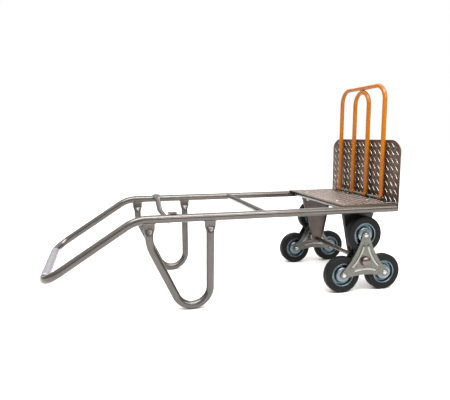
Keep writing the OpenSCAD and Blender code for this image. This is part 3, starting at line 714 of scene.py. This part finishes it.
def bracket_sheet(side):
    """Folded bracket, lofted from its top edge to its round foot. Each level is a channel
    section: a web as wide as the outline there, with a flange folded inboard at each end
    through a 7 mm bend. The width falls in a straight line and then as a circle's chord,
    and the flanges fade out round the foot."""
    drop = BRACKET_TOP_Z - AXLE[2]
    lean = math.atan2(drop, BRACKET_HALF_W) - math.acos(
        BRACKET_FOOT_R / math.hypot(drop, BRACKET_HALF_W))
    meet_w, meet_d = BRACKET_FOOT_R * math.cos(lean), drop - BRACKET_FOOT_R * math.sin(lean)
    turn = np.linspace(0, 1, 14) ** 0.8 * (math.pi / 2 + lean) - lean
    depth = np.concatenate([np.linspace(0, meet_d, 12), drop + BRACKET_FOOT_R * np.sin(turn[1:])])
    width = np.concatenate([np.linspace(BRACKET_HALF_W, meet_w, 12),
                            BRACKET_FOOT_R * np.cos(turn[1:])])
    width = np.maximum(width, 0.01)
    flange = BRACKET_T + 0.02 + (BRACKET_FLANGE - BRACKET_T) * ease((drop - 4 - depth) / 22)
    bend = np.minimum(7.0, np.minimum(flange - 0.01, width * 0.9))
    arc = np.linspace(0, np.pi / 2, 6)
    half_out = [np.stack([width, -flange], axis=-1)]
    half_out += [np.stack([width - bend * (1 - np.cos(t)), -bend * (1 - np.sin(t))], axis=-1)
                 for t in arc]
    inner_bend = np.maximum(bend - BRACKET_T, 0.0)
    skin = np.minimum(BRACKET_T, width * 0.7)
    half_in = [np.stack([width - skin - inner_bend * (1 - np.cos(t)),
                         -BRACKET_T - inner_bend * (1 - np.sin(t))], axis=-1) for t in arc[::-1]]
    half_in += [np.stack([width - skin, -flange], axis=-1)]
    flip = np.array([-1, 1])
    section = np.stack(half_out + [p * flip for p in half_out[::-1]]
                       + [p * flip for p in half_in[::-1]] + half_in, axis=1)
    x = AXLE[0] + section[..., 0]
    out = section[..., 1]
    d = np.broadcast_to(depth[:, None], out.shape)
    y = BRACKET_TOP_Y + out * math.cos(BRACKET_LEAN) - d * math.sin(BRACKET_LEAN)
    z = BRACKET_TOP_Z - d * math.cos(BRACKET_LEAN) - out * math.sin(BRACKET_LEAN)
    sheet = np.stack([x, SIDES[side] * y, z], axis=-1)
    closed = [np.broadcast_to(row.mean(axis=0), row.shape)[None] for row in (sheet[0], sheet[-1])]
    return np.concatenate([closed[0], sheet, closed[1]])


def bracket_pieces(side):
    """The folded sheet, and the flat shelf bent inboard at its top, under the cross tubes."""
    shelf_w = BRACKET_HALF_W - 1
    s = SIDES[side]
    ys = sorted([s * (BRACKET_TOP_Y - 45), s * (BRACKET_TOP_Y - 0.2)])
    outline = rounded([[AXLE[0] - shelf_w, ys[0]], [AXLE[0] + shelf_w, ys[0]],
                       [AXLE[0] + shelf_w, ys[1]], [AXLE[0] - shelf_w, ys[1]]], 3)
    shelf = slab(outline, BRACKET_TOP_Z - BRACKET_T, BRACKET_TOP_Z, 0.6)
    return [(bracket_sheet(side), False), (shelf, False)]


for side in SIDES:
    make_piece(f"{side}_bracket_folded", bracket_pieces(side), bracket_paint, "frame",
               [f"{side}_axle_bracket"])


# ---- Axle, caps and stars -----------------------------------------------------------


def bar_profile(radius, low, high, edge=1.0, bore=0):
    """Bar along Y with chamfered ends, closed on the axis, or a pipe if it has a bore."""
    return [[bore, low], [radius - edge, low], [radius, low + edge], [radius, high - edge],
            [radius - edge, high], [bore, high]]


AXLE_R, AXLE_END = 10, corners_of("axle")[1][1]
AXLE_LINE = [AXLE[0], 0, AXLE[2]]
make_piece("axle_bar", [(turned(bar_profile(AXLE_R, -AXLE_END, AXLE_END), AXLE_LINE), False)],
           axle_steel, "frame", ["axle"])

CAP_R, CAP_H, CAP_SIDE = 21.5, 17.0, 4.5
CAP_Y = corners_of("axle_caps")[1][1] - CAP_H


def cap(side):
    """Domed cap: a short straight wall, then a full round dome, as the quarter of a
    superellipse; hollow over the axle's end."""
    t = np.linspace(0, np.pi / 2, 24)
    dome = np.stack([CAP_R * np.cos(t) ** 0.88,
                     CAP_SIDE + (CAP_H - CAP_SIDE) * np.sin(t)], axis=-1)
    profile = np.vstack([[[AXLE_R + 0.2, 0.0], [CAP_R - 0.6, 0.0], [CAP_R, 0.6]], dome,
                         [[0, CAP_H - 3], [AXLE_R + 0.2, CAP_H - 5]]])
    profile[:, 1] = SIDES[side] * (CAP_Y + profile[:, 1])
    return turned(profile, AXLE_LINE), True


make_piece("axle_end_caps", [cap(side) for side in SIDES], cap_steel, "frame",
           ["axle_caps"])

# Star plate: wheel pins' circle, round arm ends, hollow sides' distance from the middle
ARM_R, ARM_END_R, WAIST, BORE_R = 115.0, 17.0, 60.0, 12.5
ARM_SPREAD, ARM_DROP = ARM_R * math.cos(math.pi / 6), ARM_R / 2
THIRD_TURNS = np.radians([0, 120, 240])
# Its ribs, then the raised seats round the pins, the arms' dimples and the low swell
RIB_APEX, RIB_R, RIB_HALF, RIB_W, RIB_H = 35.0, 190.0, 62.0, 8.5, 3.2
SEAT_R, SEAT_H = 13.5, 0.7
DIMPLE_OUT, DIMPLE_ASIDE, DIMPLE_R, DIMPLE_H = 80, 6.5, 3.6, 1.3
SWELL_IN, SWELL_OUT, SWELL_H = 19, 74, 0.8
# Wheel pins: button head, shank, and a nut on the inboard side
HEAD_R, HEAD_H, PIN_R, NUT_ACROSS, NUT_H = 9.4, 3.4, 6, 18.0, 10


def star_edge():
    """Outline of a star plate: hollow sides of one large radius that touch a round end on
    each of three arms, as points in equal steps."""
    side_r = ((ARM_SPREAD ** 2 + (WAIST - ARM_DROP) ** 2 - ARM_END_R ** 2)
              / (2 * (ARM_END_R - WAIST + ARM_DROP)))
    side_c = side_r + WAIST
    meet = math.atan2(side_c - ARM_DROP, ARM_SPREAD)
    a = np.linspace(math.pi - meet, meet, 60)
    hollow_side = np.stack([side_r * np.cos(a), side_r * np.sin(a) - side_c], axis=-1)
    b = np.linspace(math.pi + meet, math.radians(480) - meet, 40)
    end = np.stack([ARM_SPREAD + ARM_END_R * np.cos(b),
                    ARM_END_R * np.sin(b) - ARM_DROP], axis=-1)
    third = np.vstack([hollow_side, end[1:]])
    edge = []
    for turn in THIRD_TURNS:
        c, s = math.cos(turn), math.sin(turn)
        edge.append(third @ np.array([[c, s], [-s, c]]))
    return in_equal_steps(np.vstack(edge + [edge[0][:1]]), 300)


def pressed_height(p):
    """Height of a star plate's pressings over its flat face: along each side a rib that
    follows a circle of 190 mm radius, a low swell inside the three ribs, a raised seat round each
    wheel bolt and two dimples on each arm."""
    height = np.zeros(p.shape[:-1])
    inside = np.ones(p.shape[:-1])
    for turn in THIRD_TURNS:
        c, s = math.cos(turn), math.sin(turn)
        x = p[..., 0] * c + p[..., 1] * s
        z = -p[..., 0] * s + p[..., 1] * c
        centre_z = -RIB_APEX - RIB_R
        off = np.hypot(x, z - centre_z) - RIB_R
        ends = ease((RIB_HALF - np.abs(x)) / 14) * (z < 0)
        rib = ease(1.35 * (1 - np.abs(off) / RIB_W)) * RIB_H * ends
        height = np.maximum(height, rib)
        inside = inside * ease(off / 5)
        seat = np.hypot(x - ARM_SPREAD, z + ARM_DROP)
        height = np.maximum(height, SEAT_H * ease((SEAT_R - seat) / 2.5))
        along = x * math.cos(math.pi / 6) - z / 2
        across = x / 2 + z * math.cos(math.pi / 6)
        for dimple in (DIMPLE_ASIDE, -DIMPLE_ASIDE):
            d = np.hypot(along - DIMPLE_OUT, across - dimple)
            height = np.maximum(height, DIMPLE_H * np.clip(1 - (d / DIMPLE_R) ** 2, 0, 1))
    radius = np.linalg.norm(p, axis=-1)
    swell = (SWELL_H * inside * ease((SWELL_OUT - radius) / 12)
             * ease((radius - SWELL_IN) / 3))
    return np.maximum(height, swell)


def star_plate(side, outer):
    """Pressed plate as a closed shell: from the bore to the edge over the face with the
    pressings, round a small edge radius, and back over the other face."""
    edge = star_edge()
    away = np.linalg.norm(edge, axis=1)
    share = np.linspace(0, 1, 74)[:, None, None]
    start = edge / away[:, None] * (BORE_R + 0.05)
    p = start + (edge - start) * share
    rise = pressed_height(p)
    rim = np.zeros(len(share))
    rim[0], rim[-1] = 0.5, 0.5
    front = STAR_T + rise - rim[:, None]
    back = rise * 0.85 + rim[:, None]
    plane = np.concatenate([p, p[::-1]])
    level = np.concatenate([front, back[::-1]])
    s = SIDES[side]
    y = STAR_Y + STAR_GAP + level if outer else STAR_Y - STAR_GAP - level
    return np.stack([AXLE[0] + plane[..., 0], s * y, AXLE[2] + plane[..., 1]], axis=-1)


def pin_line(angle):
    """Where a wheel pin's axis meets the truck's middle, at an angle round the axle."""
    a = math.radians(angle)
    return [AXLE[0] + ARM_R * math.cos(a), 0, AXLE[2] + ARM_R * math.sin(a)]


STAR_OUT, STAR_IN = STAR_Y + STAR_GAP + STAR_T, STAR_Y - STAR_GAP - STAR_T


def bolt_head(side, angle):
    """Button head: a round dome whose height falls as the 0.7 power of a quarter circle."""
    t = np.linspace(0, np.pi / 2, 12)
    dome = np.stack([HEAD_R * np.cos(t), 0.2 + HEAD_H * np.sin(t) ** 0.7], axis=-1)
    profile = np.vstack([[[0, 0], [HEAD_R - 0.4, 0]], dome])
    profile[-1, 0] = 0
    profile[:, 1] = SIDES[side] * (STAR_OUT + 0.02 + profile[:, 1])
    return turned(profile, pin_line(angle), 48), False


def bolt_shank(side, angle):
    """Shank: a chamfered bar that stands 2 mm out of its nut."""
    profile = np.array(bar_profile(PIN_R, STAR_IN - NUT_H - 2, STAR_OUT, 0.8))
    profile[:, 1] *= SIDES[side]
    return turned(profile, pin_line(angle), 36), False


for side, s in SIDES.items():
    body = f"{side}_star"
    for word, outer in (("outer", True), ("inner", False)):
        plate = make_piece(f"{side}_{word}_star_pressing", [(star_plate(side, outer), True)],
                           star_zinc, body, [f"{side}_star_{word}_plate"], 40)
        # Each point's pressing height, which the star's material reads to paint the highlight on
        # the rib crests
        at = np.empty(len(plate.data.vertices) * 3)
        plate.data.vertices.foreach_get("co", at)
        at = at.reshape(-1, 3)[:, [0, 2]] / MM - [AXLE[0], AXLE[2]]
        rise = plate.data.attributes.new("rise", "FLOAT", "POINT")
        rise.data.foreach_set("value", pressed_height(at))
    bolts, nuts = [], []
    for angle in WHEELS.values():
        bolts += [bolt_head(side, angle), bolt_shank(side, angle)]
        nut_y = sorted([s * STAR_IN, s * (STAR_IN - NUT_H)])
        nuts.append(hex_nut(pin_line(angle), NUT_ACROSS, *nut_y, PIN_R))
    make_piece(f"{side}_star_button_bolts", bolts, bolt_zinc, body,
               [f"{side}_star_wheel_bolts"])
    make_piece(f"{side}_star_hex_nuts", nuts, bolt_zinc, body,
               [f"{side}_star_wheel_nuts"])


# ---- Wheels -------------------------------------------------------------------------


def tyre_profile():
    """Solid tyre's section, round its edge: seat, bead, sidewall with one moulded groove,
    9 mm shoulder and a tread with a fine mould line at its middle."""
    t = np.linspace(0, np.pi / 2, 12)
    shoulder = np.stack([71 + 9 * np.sin(t), 11 + 9 * np.cos(t)], axis=-1)
    sidewall = [[47.5, 14.6], [50.9, 15.2], [51.6, 16.6], [53.5, 18.4], [57, 19.4],
                [61.2, 19.8], [61.9, 19.3], [63.6, 19.3], [64.3, 19.8], [68, 20]]
    half = np.vstack([sidewall, shoulder, [[80, 3.5], [79.85, 1.2], [79.85, 0.7]]])
    return np.vstack([half, (half * [1, -1])[::-1]])


def disc_profile():
    """Pressed rim disc's section: raised boss round the hub, deep groove with the rivets,
    and a lip rolled outward against the tyre. The back follows the front 1.4 mm under it."""
    front = np.array([[11.7, 20.4], [14, 20.5], [28.5, 20.5], [31.0, 19.9], [33.0, 18.1],
                      [34.2, 14], [35.4, 5.4], [36.3, 2.6], [38, 1.6], [42, 1.6], [43.5, 2.8],
                      [44.5, 7], [45.5, 13.4], [46.4, 15.8], [47.8, 16.7], [49.6, 16.9],
                      [50.5, 16.4], [50.7, 15.6]])
    along = unit(np.gradient(front, axis=0))
    back = front + 1.4 * np.stack([along[:, 1], -along[:, 0]], axis=-1)
    back[:, 1] = np.maximum(back[:, 1], 0.02)
    return np.vstack([front, back[::-1]])


def rivet(centre, s, angle, radius, size, level):
    """Rivet head: a low dome on the disc, turned about its own axis."""
    t = np.linspace(0, np.pi / 2, 6)
    dome = np.stack([size * np.cos(t), 0.55 * size * np.sin(t)], axis=-1)
    profile = np.vstack([[[0, -0.4]], dome])
    profile[:, 1] = s * (level + profile[:, 1])
    spot = [centre[0] + radius * math.cos(angle), centre[1], centre[2] + radius * math.sin(angle)]
    return turned(profile, spot, 20), False


# Pressed cover over the boss round the hub, as radius and Y
COVER = np.array([[12.5, 20.6], [12.9, 21.2], [28.6, 21.2], [30.6, 20.5], [31.6, 19.6],
                  [31.2, 19.3], [30.0, 20.1], [28.4, 20.6]])
# Rivets in the groove and in the cover: circle, head's radius, level and first angle
RIVETS = ((40, 2.9, 1.6, 45), (25, 1.9, 21.1, 20))
tyre_half, disc_half = tyre_profile(), disc_profile()
for side in SIDES:
    for where in WHEELS:
        name, body = f"{side}_{where}", f"{side}_{where}_wheel"
        centre = middle_of(f"{name}_roller_hub")
        make_piece(f"{name}_solid_tyre", [(turned(tyre_half, centre, 120), True)], tyre_rubber,
                   body, [f"{name}_tyre"], 26)
        discs = [(turned(disc_half * [1, s], centre, 96), True) for s in (1, -1)]
        make_piece(f"{name}_pressed_rim", discs, rim_zinc, body,
                   [f"{name}_rim_discs"], 40)
        covers = [(turned(COVER * [1, s], centre, 72), True) for s in (1, -1)]
        make_piece(f"{name}_hub_covers", covers, rim_zinc, body)
        heads = [rivet(centre, s, math.radians(first + quarter), radius, size, level)
                 for radius, size, level, first in RIVETS for s in (1, -1)
                 for quarter in range(0, 360, 90)]
        make_piece(f"{name}_rivet_heads", heads, bolt_zinc, body,
                   [f"{name}_rim_rivets"])


# ---- Nose extension -----------------------------------------------------------------

LOOP_R, LOOP_WALL = 10.0, 1.5
SLEEVE_R, SLEEVE_BORE_R, SLEEVE_HALF = 11.0, 6.05, 13
PIVOT_LINE = [PIVOT[0], 0, PIVOT[2]]
# Each loop's width between its legs' middles, its top's height and its corners' radius
LOOPS = {"outer_loop": (372.0, 902.0, 65.0), "inner_loop": (119.0, 882.3, 59.0)}


def loop_wall(half, top, corner):
    """Upside-down U of tube in the nose extension's plane, its feet coped to the pivot
    sleeves."""
    x, foot = PIVOT[0], PIVOT[2] + 4
    path = bent([[x, half, foot], [x, half, top], [x, -half, top], [x, -half, foot]],
                [corner, corner], 4)
    path = with_rows_at(path, [30, distances(path)[-1] - 30])
    wall = hollow(path, round_section(LOOP_R, 40), round_section(LOOP_R - LOOP_WALL, 40),
                  np.array([1.0, 0, 0]))
    seat = PIVOT[2] + rise_of(SLEEVE_R, wall[..., 0] - x, 10.3)
    wall[..., 2] = np.maximum(wall[..., 2], seat)
    return wall


def loop_foot_weld(y):
    """Bead round a loop's foot, on the pivot sleeve's round."""
    edge = round_section(LOOP_R + 0.3, 40)
    z = PIVOT[2] + rise_of(SLEEVE_R, edge[:, 0], 10.2) + 0.3
    return weld(np.stack([PIVOT[0] + edge[:, 0], y + edge[:, 1], z], axis=-1), 1.5, (0, 0, 1))


feet = []
for node, (width, top, corner) in LOOPS.items():
    make_piece(f"{node}_bent", [(loop_wall(width / 2, top, min(corner, width / 2 - 0.5)), True)],
               loop_paint, "extension", [node])
    feet += [width / 2, -width / 2]
beads = [loop_foot_weld(y) for y in feet]
joint_z = LOOPS["outer_loop"][1] - LOOP_R
for s in (1, -1):
    y = np.linspace(-13, 13, 16)
    spot = np.stack([np.full(16, PIVOT[0] + s * 3.4), y, np.full(16, joint_z)], axis=-1)
    beads.append(weld(spot, 2.8, (0, 0, 1), False))
make_piece("extension_weld_beads", beads, loop_paint, "extension")

sleeves = [(turned(bar_profile(SLEEVE_R, y - SLEEVE_HALF, y + SLEEVE_HALF, 0.8, SLEEVE_BORE_R),
                   PIVOT_LINE, 48), True) for y in feet]
make_piece("pivot_sleeves_turned", sleeves, loop_paint, "extension",
           ["pivot_sleeves"])


# ---- CAD nodes that stay as they are ------------------------------------------------

CARRIED_OVER = {
    "axle_spacers": bolt_zinc, "axle_washers": bolt_zinc, "base_plate_bolts": bolt_zinc,
    "base_plate_nuts": bolt_zinc, "pivot_lugs": frame_paint, "pivot_rod": bolt_zinc,
    "pivot_nuts": bolt_zinc,
}
for side in SIDES:
    CARRIED_OVER[f"{side}_star_hub_sleeve"] = star_zinc
    CARRIED_OVER[f"{side}_star_hub_bushes"] = bush_nylon
    for where in WHEELS:
        CARRIED_OVER[f"{side}_{where}_roller_hub"] = bolt_zinc
for node, material in CARRIED_OVER.items():
    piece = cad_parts[node]
    piece.data.materials.clear()
    piece.data.materials.append(material)


# ---- Floor, light and camera --------------------------------------------------------

scene = bpy.context.scene
scene.view_settings.view_transform = "Standard"


def floor():
    """Plain pale disc under the truck, 30 m across."""
    turn = np.linspace(0, 2 * np.pi, 96, endpoint=False)
    points = 15.0 * np.stack([np.cos(turn), np.sin(turn), np.zeros(96)], axis=-1)
    mesh = bpy.data.meshes.new("pale_floor")
    mesh.from_pydata(points.tolist(), [], [list(range(96))])
    material = bpy.data.materials.new("pale_matt_floor")
    material.use_nodes = True
    shader = material.node_tree.nodes["Principled BSDF"]
    shader.inputs["Base Color"].default_value = linear("#f2f2f2")
    shader.inputs["Roughness"].default_value = 0.9
    shader.inputs["Specular IOR Level"].default_value = 0.1
    mesh.materials.append(material)
    ground = bpy.data.objects.new("pale_floor", mesh)
    scene.collection.objects.link(ground)


def studio_sky():
    """Room light: white overhead, falling with the 1.6 power of the height to grey at
    the horizon, and plain white where the camera looks past the floor."""
    world = bpy.data.worlds.new("studio_room")
    scene.world = world
    world.use_nodes = True
    tree = world.node_tree
    tree.nodes.clear()
    direction = add_node(tree, "ShaderNodeSeparateXYZ", {
        "Vector": add_node(tree, "ShaderNodeTexCoord").outputs["Generated"]})
    rise = add_node(tree, "ShaderNodeMath", {0: direction.outputs["Z"], 1: 1.6}, operation="POWER")
    height = add_node(tree, "ShaderNodeMapRange", {"Value": rise.outputs[0], "To Min": 0.33,
                                                   "To Max": 2.6})
    room = add_node(tree, "ShaderNodeBackground", {"Color": linear("#fbf8f5"),
                                                   "Strength": height.outputs[0]})
    seen = add_node(tree, "ShaderNodeBackground", {"Color": (1, 1, 1, 1), "Strength": 1.0})
    path = add_node(tree, "ShaderNodeLightPath")
    mixed = add_node(tree, "ShaderNodeMixShader", {0: path.outputs["Is Camera Ray"],
                                                   1: room.outputs[0], 2: seen.outputs[0]})
    out = add_node(tree, "ShaderNodeOutputWorld")
    tree.links.new(mixed.outputs[0], out.inputs["Surface"])


def softbox(name, place, target, size, watts, colour="#ffffff"):
    """Rectangular studio lamp at a place in metres, turned to face a target."""
    lamp = bpy.data.lights.new(name, "AREA")
    lamp.shape = "RECTANGLE"
    lamp.size, lamp.size_y = size
    lamp.energy = watts
    lamp.color = linear(colour)[:3]
    light = bpy.data.objects.new(name, lamp)
    light.location = place
    aim = np.array(target) - np.array(place)
    light.rotation_euler = mathutils.Vector(aim).to_track_quat("-Z", "Y").to_euler()
    scene.collection.objects.link(light)


# Camera: place in millimetres, yaw, pitch and roll in degrees, focal length for 36 mm film
CAMERA_PLACE, CAMERA_TURNS = [NOSE - 1228.0, -1998.9, 678.8], [14.923, -7.967, -0.076]
CAMERA_LENS = 36.72


def camera():
    """Camera 0.68 m up and 2 m to the truck's right, turned towards its nose."""
    yaw, pitch, roll = np.radians(CAMERA_TURNS)
    ahead = np.array([math.sin(yaw) * math.cos(pitch), math.cos(yaw) * math.cos(pitch),
                      math.sin(pitch)])
    right = np.array([math.cos(yaw), -math.sin(yaw), 0])
    up = np.cross(right, ahead)
    right, up = (right * math.cos(roll) + up * math.sin(roll),
                 up * math.cos(roll) - right * math.sin(roll))
    lens = bpy.data.cameras.new("camera")
    lens.sensor_width = 36.0
    lens.lens = CAMERA_LENS
    view = bpy.data.objects.new("camera", lens)
    place = np.array(CAMERA_PLACE) * MM
    matrix = np.eye(4)
    matrix[:3, 0], matrix[:3, 1], matrix[:3, 2], matrix[:3, 3] = right, up, -ahead, place
    view.matrix_world = mathutils.Matrix(matrix.tolist())
    scene.collection.objects.link(view)
    scene.camera = view


floor()
studio_sky()
softbox("overhead_softbox", (-0.2, -1.2, 3.2), (0, 0, 0.2), (3.2, 1.2), 150)
softbox("front_softbox", (1.3, -2.6, 2.0), (0.2, -0.2, 0.3), (3.0, 0.8), 45, "#fffaf4")
softbox("rear_softbox", (1.6, 3.2, 2.4), (0.2, 0, 0.3), (2.0, 1.4), 18)
camera()
